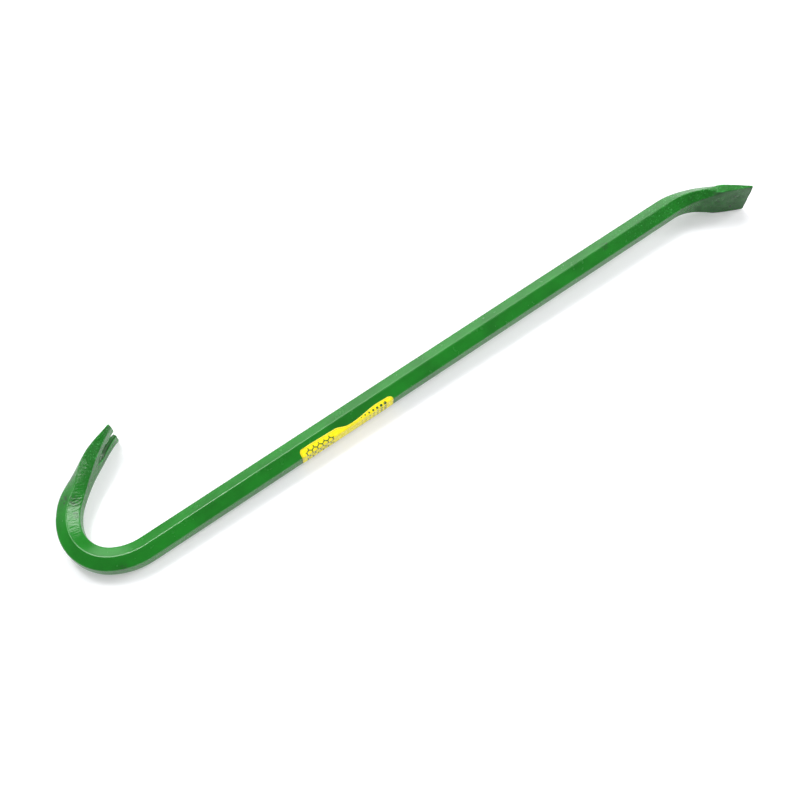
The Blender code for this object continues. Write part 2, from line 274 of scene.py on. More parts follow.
def add_sun(name, comes_from, strength, spread):
    """A lamp far away. Only its direction counts; its place just shows the reader where it is."""
    data = bpy.data.lights.new(name, "SUN")
    data.energy = strength
    data.angle = math.radians(spread)
    lamp = bpy.data.objects.new(name, data)
    lamp.rotation_euler = comes_from.to_track_quat("Z", "Y").to_euler()
    lamp.location = comes_from * LAMP_DISTANCE
    bpy.context.scene.collection.objects.link(lamp)


def light_the_room():
    world = bpy.data.worlds.new("pale_dome")
    world.use_nodes = True
    sky = world.node_tree.nodes["Background"]
    sky.inputs["Color"].default_value = WHITE
    sky.inputs["Strength"].default_value = DOME_STRENGTH
    bpy.context.scene.world = world
    for name, comes_from, strength, spread in LAMPS:
        add_sun(name, comes_from, strength, spread)


light_the_room()
bpy.context.scene.view_settings.view_transform = "Standard"
level = DOME_STRENGTH
for name, comes_from, strength, spread in LAMPS:
    level += strength * comes_from.normalized().z / math.pi
print("light that falls on the floor:", round(level, 2))

# %% [markdown]
# ## The bar's skin
#
# The solid is made of few, large triangles. A painted forging needs a finer skin, so a copy of the
# solid is refined. Its triangles are merged and paired back into the four-sided faces they came
# from, because subdivision only gives even surfaces on four-sided faces. Modelling the bar again
# from nothing would also work, but a copy can't drift away from the solid, which carries the
# measures.

# %% The directions of the bar
mount = frame["record"]["mounts"][0]
INWARD = Vector(mount["axis"])
ALONG = Vector((INWARD.z, 0.0, -INWARD.x)).normalized()
ACROSS = ALONG.cross(INWARD)
FLAT_POINT = Vector(mount["pos_m"])
print("shank runs along", [round(part, 4) for part in ALONG])

# %% Merge the triangles and pair them
MERGE_DISTANCE = 0.00001
PAIR_MOST_BEND = math.radians(25)
PAIR_MOST_SLANT = math.radians(60)


def merged_copy(solid):
    shape = bmesh.new()
    shape.from_mesh(solid.data)
    bmesh.ops.remove_doubles(shape, verts=shape.verts, dist=MERGE_DISTANCE)
    bmesh.ops.join_triangles(
        shape,
        faces=shape.faces,
        angle_face_threshold=PAIR_MOST_BEND,
        angle_shape_threshold=PAIR_MOST_SLANT,
    )
    return shape


skin = merged_copy(bar_solid)
print("merged skin:", len(skin.verts), "points,", len(skin.faces), "faces")

# %% [markdown]
# The straight shank is one face long, and each flat is one face wide. Edges that run round the bar
# are halved until they are about 2 to 3 mm long, so that the rounded corners stay tight when the
# skin is smoothed. The long edges of the shank are cut to about 12 mm, so that small dents can
# give it a slight waviness.

# %% Cut the long edges
SHANK_EDGE_OVER = 0.2
SHANK_STEP = 0.0125
ROUND_EDGE_OVER = 0.00322
ROUND_LEAN_OVER = 0.38
HALVINGS = 4


def runs_round(edge):
    """True for an edge that goes round the bar and not along it."""
    run = edge.verts[1].co - edge.verts[0].co
    return abs(run.normalized().dot(ACROSS)) > ROUND_LEAN_OVER


def cut_shank_edges(shape):
    shank = [edge for edge in shape.edges if edge.calc_length() > SHANK_EDGE_OVER]
    cuts = round(max(edge.calc_length() for edge in shank) / SHANK_STEP)
    bmesh.ops.subdivide_edges(shape, edges=shank, cuts=cuts, use_grid_fill=True)


def halve_round_edges(shape):
    wide = [edge for edge in shape.edges if edge.calc_length() > ROUND_EDGE_OVER]
    wide = [edge for edge in wide if runs_round(edge)]
    if wide:
        bmesh.ops.subdivide_edges(shape, edges=wide, cuts=1, use_grid_fill=True)


cut_shank_edges(skin)
for _ in range(HALVINGS):
    halve_round_edges(skin)
print("cut skin:", len(skin.faces), "faces")

# %% [markdown]
# Smoothing would melt the working edges, so every edge that is truly sharp gets a crease: the
# slot's rim, the claw's tips and the chisel's edge. A light crease lets paint round them a little,
# as it does in reality.

# %% Crease the sharp edges and smooth the skin
SHARP_ABOVE = math.radians(42)
CREASE = 0.36
SMOOTH_LEVELS = 2


def crease_sharp_edges(shape):
    layers = shape.edges.layers.float
    layer = layers.get("crease_edge") or layers.new("crease_edge")
    count = 0
    for edge in shape.edges:
        if len(edge.link_faces) == 2 and edge.calc_face_angle(0.0) > SHARP_ABOVE:
            edge[layer] = CREASE
            count += 1
    return count


def smoothed_mesh(shape, levels):
    """The skin as a mesh after the Subdivision Surface modifier."""
    mesh = bpy.data.meshes.new("rough_skin")
    shape.to_mesh(mesh)
    shape.free()
    carrier = bpy.data.objects.new("rough_skin", mesh)
    bpy.context.scene.collection.objects.link(carrier)
    smoother = carrier.modifiers.new("smooth", "SUBSURF")
    smoother.levels = levels
    smoother.render_levels = levels
    finished = carrier.evaluated_get(bpy.context.evaluated_depsgraph_get())
    result = bpy.data.meshes.new_from_object(finished)
    bpy.data.objects.remove(carrier)
    bpy.data.meshes.remove(mesh)
    return result


creased = crease_sharp_edges(skin)
bar_mesh = smoothed_mesh(skin, SMOOTH_LEVELS)
bar_mesh.name = "bar_skin"
print(creased, "creased edges;", len(bar_mesh.polygons), "faces after smoothing")

# %% [markdown]
# ## Forging marks
#
# The shank is rolled stock and almost true, and so is the bend of the hook. The claw's leg and the
# chisel were hammered hot between dies, which leaves shallow dents and finer scale marks between
# them. The dents are real moves of the skin's points, so that they also show in the outline and in
# reflections. They only go inwards, because the solid's measures are the largest that the bar may
# have.

# %% Press the forging marks in
DENT_SIZE = 0.0075
DENT_DEPTH = 0.00016
MARK_SIZE = 0.0026
MARK_DEPTH = 0.00007
MARK_SHIFT = Vector((7.0, 3.0, 5.0))
MARKS_ON_SHANK = 0.12
CLAW_SIDE_STARTS = 0.026
CLAW_SIDE_FULL = 0.050
CHISEL_END_STARTS = 0.150
CHISEL_END_FULL = 0.235


def eased(share):
    """0 below 0, 1 above 1, and a soft step between them."""
    share = min(max(share, 0.0), 1.0)
    return share * share * (3 - 2 * share)


def forged_share(place):
    """1 at the hammered ends and 0 on the shank. Only the claw's side of the hook has a high Y."""
    claw = (place.y - CLAW_SIDE_STARTS) / (CLAW_SIDE_FULL - CLAW_SIDE_STARTS)
    chisel = (place.x - CHISEL_END_STARTS) / (CHISEL_END_FULL - CHISEL_END_STARTS)
    return eased(max(claw, chisel))


def press_marks(mesh):
    deepest = 0.0
    normals = [Vector(item.vector) for item in mesh.vertex_normals]
    for vertex, normal in zip(mesh.vertices, normals):
        place = vertex.co.copy()
        dent = 0.5 + 0.5 * noise.noise(place / DENT_SIZE)
        mark = 0.5 + 0.5 * noise.noise(place / MARK_SIZE + MARK_SHIFT)
        share = MARKS_ON_SHANK + (1 - MARKS_ON_SHANK) * forged_share(place)
        depth = share * (DENT_DEPTH * dent + MARK_DEPTH * mark)
        vertex.co = place - normal * depth
        deepest = max(deepest, depth)
    mesh.update()
    return deepest


print("deepest mark:", round(1000 * press_marks(bar_mesh), 2), "mm")

# %% [markdown]
# ## Swollen back of the claw
#
# Where the hexagon is beaten thin for the claw, the steel that has no other way to go swells out at
# the back, so the outline there is a little fuller than the drawing. The skin's points are pushed
# outwards over two soft patches. The push fades to nothing across the bar, so the inside of the
# hook, which does the work, stays true.

# %% Swell the back
CLAW_LEFT_OF = -0.2
SWELL_LINE_START = Vector((-0.2670, 0.0391, 0.0))
SWELL_ALONG = Vector((0.876, 0.482, 0.0)).normalized()
SWELL_OUT = Vector((-SWELL_ALONG.y, SWELL_ALONG.x, 0.0))
SWELL_INNER_EDGE = -0.0020
SWELL_OUTER_EDGE = 0.0060
SWELLS = [
    # place along the line, reach, height
    (0.0270, 0.0190, 0.0016),
    (-0.0120, 0.0200, 0.0011),
]


def swell_height(place):
    from_start = place - SWELL_LINE_START
    across = from_start.dot(SWELL_OUT) - SWELL_INNER_EDGE
    height = 0.0
    for centre, reach, most in SWELLS:
        away = min(abs(from_start.dot(SWELL_ALONG) - centre) / reach, 1.0)
        height += most * (1 - away * away) ** 2
    return height * eased(across / (SWELL_OUTER_EDGE - SWELL_INNER_EDGE))


def swell_the_back(mesh):
    most = 0.0
    for vertex in mesh.vertices:
        if vertex.co.y > 0.0 and vertex.co.x < CLAW_LEFT_OF:
            height = swell_height(vertex.co)
            vertex.co = vertex.co + height * SWELL_OUT
            most = max(most, height)
    mesh.update()
    return most


print("swollen by up to", round(1000 * swell_the_back(bar_mesh), 2), "mm")

# %% [markdown]
# The hammer also rounds the two shoulders, where the claw's sides meet its back. Each pass moves a
# point towards the middle of its neighbours. The later passes take in less of the shoulder, so the
# rounding fades out at its ends.

# %% Round the shoulders
SHOULDER_AT = 0.0300
SHOULDER_LENGTH = 0.0140
SHOULDER_ABOVE = 0.0110
SHOULDER_WIDTH = 0.0080
SHOULDER_PASSES = 48
SHOULDER_FADE = 0.5
SHOULDER_PULL = 0.5


def shoulder_points(shape, reach):
    chosen = []
    for vertex in shape.verts:
        from_start = vertex.co - SWELL_LINE_START
        near = abs(from_start.dot(SWELL_ALONG) - SHOULDER_AT) < reach
        on_claw = abs(from_start.dot(SWELL_OUT)) < SHOULDER_WIDTH
        outer = abs((vertex.co - FLAT_POINT).dot(ACROSS)) > SHOULDER_ABOVE
        if near and on_claw and outer:
            chosen.append(vertex)
    return chosen


def round_the_shoulders(mesh):
    """Rounds them and gives the furthest that a point has moved."""
    shape = bmesh.new()
    shape.from_mesh(mesh)
    before = [vertex.co.copy() for vertex in shape.verts]
    for step in range(SHOULDER_PASSES):
        reach = SHOULDER_LENGTH * (1 - SHOULDER_FADE * step / SHOULDER_PASSES)
        bmesh.ops.smooth_vert(
            shape,
            verts=shoulder_points(shape, reach),
            factor=SHOULDER_PULL,
            use_axis_x=True,
            use_axis_y=True,
            use_axis_z=True,
        )
    moves = [(vertex.co - place).length for vertex, place in zip(shape.verts, before)]
    shape.to_mesh(mesh)
    shape.free()
    return max(moves)


print("shoulders rounded by up to", round(1000 * round_the_shoulders(bar_mesh), 2), "mm")

# %% [markdown]
# ## Where the paint wears and where a highlight is painted
#
# Paint is thinnest on ridges, and it gathers in hollows. Each point of the skin gets a number for
# how far it stands out from its neighbours. The paint reads it later, so wear and a painted
# highlight on the ridges follow the shape from every side.

# %% Measure the ridges
RIDGE_BLURS = 2
RIDGE_RANK = 0.97


def stands_out(vertex):
    """How far a point is above the middle of its neighbours, as a share of their distance."""
    around = [edge.other_vert(vertex).co for edge in vertex.link_edges]
    middle = sum(around, Vector()) / len(around)
    reach = sum((place - vertex.co).length for place in around) / len(around)
    return (vertex.co - middle).dot(vertex.normal) / reach


def blur(shape, layer):
    """Moves each number halfway to the mean of its neighbours' numbers."""
    smooth = {}
    for vertex in shape.verts:
        near = [edge.other_vert(vertex)[layer] for edge in vertex.link_edges]
        smooth[vertex] = 0.5 * vertex[layer] + 0.5 * sum(near) / len(near)
    for vertex, value in smooth.items():
        vertex[layer] = value


def mark_ridges(mesh):
    shape = bmesh.new()
    shape.from_mesh(mesh)
    layer = shape.verts.layers.float.new("ridge")
    for vertex in shape.verts:
        vertex[layer] = stands_out(vertex)
    for _ in range(RIDGE_BLURS):
        blur(shape, layer)
    values = sorted(vertex[layer] for vertex in shape.verts)
    shape.to_mesh(mesh)
    shape.free()
    return values


ridge_values = mark_ridges(bar_mesh)
flats = ridge_values[len(ridge_values) // 2]
ridges = ridge_values[int(len(ridge_values) * RIDGE_RANK)]
print("ridge value on the flats:", round(flats, 3), "and on the ridges:", round(ridges, 3))


# %% Make the painted bar
def add_piece(name, mesh, node):
    piece = bpy.data.objects.new(name, mesh)
    bpy.context.scene.collection.objects.link(piece)
    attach(piece, "root")
    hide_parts(node)
    return piece


bar_mesh.shade_smooth()
bar = add_piece("painted_bar", bar_mesh, "forged_bar")
print("painted bar:", len(bar_mesh.polygons) * 2, "triangles")

# %% [markdown]
# ## Green enamel
#
# The bar was dipped or sprayed in one coat of gloss enamel. Seen close, such a coat is never one
# colour: it is thicker and darker in hollows, thinner and paler on ridges, dull on the rough
# faces of the chisel's blade, and it has a few dark rubs. Painted light goes on it as well: the
# pale ridges double as a painted highlight, pale painted glints lie on the grains of the forged
# ends, and the walls of the nail slot get painted shade. Masks steer it. One is 1 at the forged
# ends and
# 0 on the rolled shank, one finds the blade, one finds the walls of the nail slot, and the ridge
# number of the skin finds the ridges.

# %% Masks of the forged ends and of a soft patch
PATCH_CORE = 0.35


def forged_mask(tree, place):
    """The same share of hammering as in the mesh: 1 at the claw and the chisel, 0 on the shank."""
    claw = ramp(tree, along_axis(tree, place, "Y"), CLAW_SIDE_STARTS, CLAW_SIDE_FULL)
    chisel = ramp(tree, along_axis(tree, place, "X"), CHISEL_END_STARTS, CHISEL_END_FULL)
    return calculate(tree, "MAXIMUM", claw, chisel)


def patch_mask(tree, place, centre, reach):
    """1 at a place on the bar, and 0 further away than reach."""
    options = {"operation": "DISTANCE"}
    away = add_node(tree, "VectorMath", options, i0=place, i1=centre).outputs["Value"]
    return ramp(tree, away, reach, reach * PATCH_CORE)


# %% [markdown]
# The blade's broad faces are found by the direction in which they face. Their mask is a little
# cloudy, because the rough steel there drinks the paint unevenly. The two walls of the nail slot
# are found in the same way, but only near the middle of the claw, and they get painted shade.

# %% Mask of the blade
# A step is two values: where it starts and where it is full.
CLOUD_STEP = (0.25, 0.75)
BLADE_ALONG_STEP = (0.245, 0.268)
BLADE_FACING_STEP = (0.62, 0.78)
BLADE_CLOUD = (150.0, 4.0, 0.6)
BLADE_LEAST = 0.40
BLADE_CLOUDY = 0.5


def blade_mask(tree, place):
    """Cloudy, and only on the blade's broad faces, where the rough steel drinks the paint."""
    along = ramp(tree, along_axis(tree, place, "X"), *BLADE_ALONG_STEP)
    facing = calculate(tree, "ABSOLUTE", faces_along(tree, "Y"))
    broad = ramp(tree, facing, *BLADE_FACING_STEP)
    cloud = ramp(tree, noise_value(tree, place, *BLADE_CLOUD), *CLOUD_STEP)
    share = calculate(tree, "ADD", multiply(tree, cloud, BLADE_CLOUDY), BLADE_LEAST)
    return multiply(tree, along, broad, share)


# %% Mask of the slot's walls, where shade is painted
SLOT_ALONG_STEP = (0.040, 0.046)
SLOT_MIDDLE = 0.0168
SLOT_INSIDE_STEP = (0.0085, 0.0070)
SLOT_FACING_STEP = (0.40, 0.65)


def slot_shade_mask(tree, place):
    """Where shade is painted: the slot's two walls, on the claw, near the middle of its width,
    facing up or down.
    """
    on_claw = ramp(tree, along_axis(tree, place, "Y"), *SLOT_ALONG_STEP)
    height = calculate(tree, "SUBTRACT", along_axis(tree, place, "Z"), SLOT_MIDDLE)
    inside = ramp(tree, calculate(tree, "ABSOLUTE", height), *SLOT_INSIDE_STEP)
    facing = calculate(tree, "ABSOLUTE", faces_along(tree, "Z"))
    wall = ramp(tree, facing, *SLOT_FACING_STEP)
    return multiply(tree, on_claw, inside, wall)


# %% Thick paint in the hollows
PAINT = (0.0064, 0.206, 0.0102, 1.0)
PAINT_THICK = (0.0040, 0.138, 0.0064, 1.0)
COAT_CLOUD = (38.0, 3.0, 0.5)
HOLLOWS = (560.0, 3.0, 0.6)
HOLLOW_STEP = (0.54, 0.38)
HOLLOW_SHARE = 0.85


def cloudy_coat(tree, place, forged):
    """The paint, a little cloudy all over, and thick in the hollows of the forged ends."""
    cloud = ramp(tree, noise_value(tree, place, *COAT_CLOUD), *CLOUD_STEP)
    coat = blend_colours(tree, cloud, PAINT_THICK, PAINT)
    low = ramp(tree, noise_value(tree, place, *HOLLOWS), *HOLLOW_STEP)
    hollow = multiply(tree, forged, HOLLOW_SHARE, low)
    return blend_colours(tree, hollow, coat, PAINT_THICK)


# %% Painted glints on the grains
# The pale flecks are painted glints: colour that stands in for lamplight caught by the grains.
PAINTED_GLINT = (0.055, 0.370, 0.075, 1.0)
GLINT_NOISE = (900.0, 2.0, 0.6)
GLINT_STEP = (0.59, 0.70)
GLINTS_LOST_ON_BLADE = 2.0


def with_painted_glints(tree, place, coat, forged, blade):
    """Pale painted glints on the grains of the forged ends, but none on the blade's dull faces."""
    on_blade = multiply(tree, blade, GLINTS_LOST_ON_BLADE)
    off_blade = calculate(tree, "MAXIMUM", calculate(tree, "SUBTRACT", forged, on_blade), 0.0)
    # The grain mask places the painted glints.
    grain = ramp(tree, noise_value(tree, place, *GLINT_NOISE), *GLINT_STEP)
    return blend_colours(tree, multiply(tree, grain, off_blade), coat, PAINTED_GLINT)


# %% Thin paint and a painted highlight on the ridges
# Thin paint is worn paint, and its pale colour also stands for a painted highlight along the
# ridges.
PAINT_THIN_AND_HIGHLIGHT = (0.0550, 0.450, 0.0750, 1.0)
RIDGE_NOISE = (420.0, 2.0, 0.5)
RIDGE_RAGGED = 0.02
RIDGE_STEP = (0.023, 0.046)
RIDGE_SHARE = 0.75


def thin_paint_and_highlight_on_ridges(tree, place, coat, ridge):
    """Thin, pale paint where the skin stands out, with a ragged border: worn paint and a painted
    highlight.
    """
    ragged = multiply(tree, noise_value(tree, place, *RIDGE_NOISE), RIDGE_RAGGED)
    edge = ramp(tree, calculate(tree, "ADD", ridge, ragged), *RIDGE_STEP)
    return blend_colours(tree, multiply(tree, edge, RIDGE_SHARE), coat, PAINT_THIN_AND_HIGHLIGHT)


# %% [markdown]
# The rubs are where the bar lay against other bars: small smoky smears on the hook's leg, at the
# bottom of the bend, on the shank and on the chisel's face. Each is a soft ball around a place on
# the bar, torn up by noise.

# %% Rubs
RUB = (0.020, 0.045, 0.020, 1.0)
TEARS = (520.0, 3.0, 0.7)
TEAR_STEP = (0.42, 0.62)
RUBS = [
    # place, reach, depth of colour
    (Vector((0.1714, -0.0328, 0.0271)), 0.0050, 0.75),
    (Vector((-0.2843, 0.0317, 0.0232)), 0.0060, 0.80),
    (Vector((-0.2788, 0.0268, 0.0227)), 0.0062, 0.70),
    (Vector((-0.2838, 0.0180, 0.0205)), 0.0040, 0.60),
    (Vector((-0.2750, -0.0355, 0.0156)), 0.0045, 0.55),
    (Vector((0.2904, -0.0570, 0.0224)), 0.0046, 0.90),
    (Vector((0.2913, -0.0564, 0.0102)), 0.0044, 0.85),
    (Vector((0.2802, -0.0521, 0.0199)), 0.0034, 0.65),
]


def rubbed(tree, place, coat):
    torn = ramp(tree, noise_value(tree, place, *TEARS), *TEAR_STEP)
    for centre, reach, depth in RUBS:
        smear = multiply(tree, patch_mask(tree, place, centre, reach), torn, depth)
        coat = blend_colours(tree, smear, coat, RUB)
    return coat


print("rubs on the bar:", len(RUBS))

# %% Colour of the enamel
BLADE_TONE = (0.007, 0.088, 0.011, 1.0)
# Painted shade: the walls of the nail slot are darkened, as the prongs shade each other there.
SLOT_SHADE = (0.0020, 0.072, 0.0035, 1.0)
SLOT_SHADE_SHARE = 0.9


def enamel_colour(tree, place, forged, blade, ridge):
    coat = cloudy_coat(tree, place, forged)
    coat = with_painted_glints(tree, place, coat, forged, blade)
    coat = thin_paint_and_highlight_on_ridges(tree, place, coat, ridge)
    coat = blend_colours(tree, blade, coat, BLADE_TONE)
    # Painted shade darkens the slot's walls.
    slot_shade = multiply(tree, slot_shade_mask(tree, place), SLOT_SHADE_SHARE)
    coat = blend_colours(tree, slot_shade, coat, SLOT_SHADE)
    return rubbed(tree, place, coat)


# %% [markdown]
# The relief of the enamel has three parts. A faint orange peel covers all of it. Over the forged
# ends the coat follows the scale of the steel in grains of about a millimetre or two, which
# glitter. On the inside of the hook it has pulled together in drying and lies in narrow wrinkles
# across the bar. Bump gives all three, because they are far too fine for the mesh.

# %% Relief of the enamel
WRINKLE_PLACE = Vector((-0.2835, 0.0200, 0.0215))
WRINKLE_REACH = 0.034
WRINKLE_SCALES = (150.0, 620.0, 150.0)
WRINKLE_FACING_STEP = (0.12, 0.34)
WRINKLE_NOISE = (1.0, 2.0, 0.6)
WRINKLE_HEIGHT = 0.30
PEEL = (640.0, 2.0, 0.5)
PEEL_STRENGTH = 0.22
PEEL_DEPTH = 0.0003
GRAIN = (560.0, 3.0, 0.45)
GRAIN_ON_FORGED = 0.22
GRAIN_EVERYWHERE = 0.03
GRAIN_DEPTH = 0.0012


def wrinkles(tree, place):
    """Narrow ridges across the bar, where the hook runs along Y, on the facet inside the hook."""
    stretched = add_node(tree, "Mapping", Vector=place, Scale=WRINKLE_SCALES).outputs["Vector"]
    lines = noise_value(tree, stretched, *WRINKLE_NOISE)
    patch = patch_mask(tree, place, WRINKLE_PLACE, WRINKLE_REACH)
    inside = ramp(tree, faces_along(tree, "X"), *WRINKLE_FACING_STEP)
    return multiply(tree, patch, inside, lines)


def bump(tree, height, strength, distance, **under):
    """A relief. It lies on another relief where that one's direction is given as Normal."""
    node = add_node(tree, "Bump", Strength=strength, Distance=distance, Height=height, **under)
    return node.outputs["Normal"]


def enamel_relief(tree, place, forged):
    peel = bump(tree, noise_value(tree, place, *PEEL), PEEL_STRENGTH, PEEL_DEPTH)
    share = calculate(tree, "ADD", multiply(tree, forged, GRAIN_ON_FORGED), GRAIN_EVERYWHERE)
    grain = multiply(tree, noise_value(tree, place, *GRAIN), share)
    folds = multiply(tree, wrinkles(tree, place), WRINKLE_HEIGHT)
    height = calculate(tree, "ADD", grain, folds)
    return bump(tree, height, 1.0, GRAIN_DEPTH, Normal=peel)


# %% [markdown]
# The gloss changes too. The coat is a little cloudy in its shine, and the blade's broad faces,
# which drank the paint, reflect less than the rest.

# %% Paint the bar
GLOSS_CLOUD = (160.0, 3.0, 0.5)
ROUGHNESS_LEAST = 0.18
ROUGHNESS_CLOUDY = 0.14
SHINE = 0.5
SHINE_LOST_ON_BLADE = 0.38


def paint_bar(piece):
    material, tree, shader = new_material("green_enamel")
    place = add_node(tree, "TexCoord").outputs["Object"]
    ridge = add_node(tree, "Attribute", {"attribute_name": "ridge"}).outputs["Fac"]
    forged = forged_mask(tree, place)
    blade = blade_mask(tree, place)
    colour = enamel_colour(tree, place, forged, blade, ridge)
    tree.links.new(colour, shader.inputs["Base Color"])
    cloud = multiply(tree, noise_value(tree, place, *GLOSS_CLOUD), ROUGHNESS_CLOUDY)
    dull = calculate(tree, "ADD", cloud, ROUGHNESS_LEAST)
    tree.links.new(dull, shader.inputs["Roughness"])
    lost = multiply(tree, blade, SHINE_LOST_ON_BLADE)
    shine = calculate(tree, "SUBTRACT", SHINE, lost)
    tree.links.new(shine, shader.inputs["Specular IOR Level"])
    tree.links.new(enamel_relief(tree, place, forged), shader.inputs["Normal"])
    piece.data.materials.clear()
    piece.data.materials.append(material)
    return len(tree.nodes)


print("enamel nodes:", paint_bar(bar))

# %% [markdown]
# ## Label film
#
# A printed vinyl label is stuck along the shank: over the outer flat and part of the flats above
# and below it. It starts as a flat grid, which keeps a UV map in real metres. Its corners are
# rounded and its upper edge has a shallow waist. Then it is rolled round the bar's section:
# straight over each flat and bent over each corner.

# %% Label sizes
LABEL_LENGTH = 0.083
LABEL_HEIGHT = 0.0205
LABEL_CORNER = 0.0034
LABEL_TURN = math.radians(2.0)
LABEL_CELL = 0.0006
LABEL_LIFT = 0.00006
LABEL_THICKNESS = 0.00010
LABEL_FROM_MOUNT = 0.079
WAIST_DEPTH = 0.0029
WAIST_AT = 0.0025
WAIST_HOOK_SIDE = 0.0125
WAIST_CHISEL_SIDE = 0.0260
ACROSS_FLATS = 0.018
BAR_CORNER = 0.0014
CORNER_TURN = math.radians(60)
FLAT_WIDTH = ACROSS_FLATS / math.sqrt(3)
LABEL_MIDDLE = FLAT_POINT - LABEL_FROM_MOUNT * ALONG - ACROSS_FLATS / 2 * INWARD


def waist(along):
    """How far the upper edge dips at a place along the label."""
    side = WAIST_CHISEL_SIDE if along > WAIST_AT else WAIST_HOOK_SIDE
    share = min(abs(along - WAIST_AT) / side, 1.0)
    return WAIST_DEPTH * (1 - share * share) ** 2


def corner_loss(offset, half_size):
    """How much shorter a row is where the label's corners are rounded."""
    into = max(abs(offset) - (half_size - LABEL_CORNER), 0.0)
    return LABEL_CORNER - math.sqrt(max(LABEL_CORNER ** 2 - into ** 2, 0.0))


print("label at its waist:", round(1000 * (LABEL_HEIGHT - waist(WAIST_AT)), 1), "mm high")

# %% [markdown]
# The point where a place on the flat label ends up on the bar follows from how far it is from the
# middle of the outer flat. Near the middle it lies straight, then it goes round the rounded corner
# by 60 degrees, and what is left runs straight on over the next flat.

# %% Roll the label round the bar
def on_the_bar(along, around, lift):
    radius = BAR_CORNER + lift
    straight = FLAT_WIDTH / 2 - BAR_CORNER * math.tan(CORNER_TURN / 2)
    bend = radius * CORNER_TURN
    run = abs(around)
    turn = min(max(run - straight, 0.0) / bend, 1.0) * CORNER_TURN
    past = max(run - straight - bend, 0.0)
    centre = -(ACROSS_FLATS / 2 - BAR_CORNER)
    inward = centre - radius * math.cos(turn) + past * math.sin(turn)
    up = min(run, straight) + radius * math.sin(turn) + past * math.cos(turn)
    return LABEL_MIDDLE + along * ALONG + inward * INWARD + math.copysign(up, around) * ACROSS


# %% Cut the label's outline
def label_grid():
    """A flat grid one unit wide and high, in cells of the label's own size."""
    shape = bmesh.new()
    columns = round(LABEL_LENGTH / LABEL_CELL)
    rows = round(LABEL_HEIGHT / LABEL_CELL)
    bmesh.ops.create_grid(shape, x_segments=columns, y_segments=rows, size=0.5)
    return shape


def shape_label(shape):
    """Outlines the flat grid, keeps that as UV and as distance to the edge, and rolls it up."""
    uv = shape.loops.layers.uv.new("film")
    from_edge = shape.verts.layers.float.new("from_edge")
    flat = {}
    for vertex in shape.verts:
        height = LABEL_HEIGHT * vertex.co.y
        half = LABEL_LENGTH / 2 - corner_loss(height, LABEL_HEIGHT / 2)
        along = 2 * half * vertex.co.x
        upper = LABEL_HEIGHT / 2 - waist(along)
        around = height if height < 0 else height * upper / (LABEL_HEIGHT / 2)
        flat[vertex] = (along, around)
        vertex[from_edge] = min(half - abs(along), upper - around, around + LABEL_HEIGHT / 2)
    for face in shape.faces:
        for loop in face.loops:
            loop[uv].uv = flat[loop.vert]
    for vertex, (along, around) in flat.items():
        turned_along = along * math.cos(LABEL_TURN) + around * math.sin(LABEL_TURN)
        turned_around = around * math.cos(LABEL_TURN) - along * math.sin(LABEL_TURN)
        vertex.co = on_the_bar(turned_along, turned_around, LABEL_LIFT)


# %% Make the label
def face_outwards(shape):
    for face in shape.faces:
        face.normal_update()
        if face.normal.dot(face.calc_center_median() - LABEL_MIDDLE) < 0:
            face.normal_flip()


def make_label():
    shape = label_grid()
    shape_label(shape)
    face_outwards(shape)
    mesh = bpy.data.meshes.new("label_film")
    shape.to_mesh(mesh)
    shape.free()
    mesh.shade_smooth()
    piece = add_piece("label_film", mesh, "label")
    wall = piece.modifiers.new("thickness", "SOLIDIFY")
    wall.thickness = LABEL_THICKNESS
    wall.offset = 1.0
    return piece


label = make_label()
print("label cells:", len(label.data.polygons))

# %% [markdown]
# ## Print on the label
#
# The print is plain decoration in two inks on yellow film: a fine border that follows the outline,
# a honeycomb like the bar's own section, and rows of dots that grow towards one end. Each motif is
# a bit of distance maths on the UV map, which is in metres, so the sizes below are real sizes.

# %% Motifs as distances
PRINT_BLUR = 0.00008
# The cosine of 30 degrees, the slant of a hexagon's sides.
HEXAGON_SLANT = 0.866


def repeat(tree, value, pitch):
    """The distance from the middle of the cell that a value falls in, for cells of one pitch."""
    cell = calculate(tree, "DIVIDE", value, pitch)
    inside = calculate(tree, "SUBTRACT", calculate(tree, "FRACT", cell), 0.5)
    return multiply(tree, inside, pitch)


def between(tree, value, low, high):
    """1 where the value lies between low and high, with edges that are crisp at print scale."""
    above = ramp(tree, value, low - PRINT_BLUR, low + PRINT_BLUR)
    below = ramp(tree, value, high + PRINT_BLUR, high - PRINT_BLUR)
    return multiply(tree, above, below)


def hexagon_distance(tree, u, v):
    """Distance from the middle of a hexagon, the same along its whole outline."""
    wide = calculate(tree, "ABSOLUTE", u)
    high = multiply(tree, calculate(tree, "ABSOLUTE", v), HEXAGON_SLANT)
    slant = calculate(tree, "ADD", multiply(tree, wide, 0.5), high)
    return calculate(tree, "MAXIMUM", wide, slant)


# %% Honeycomb
CELL_WIDTH = 0.0046
CELL_HEIGHT = CELL_WIDTH * math.sqrt(3)
CELL_LINE = 0.00080
HONEYCOMB_FROM = -0.0375
HONEYCOMB_TO = -0.0130
HONEYCOMB_UP = 0.0082


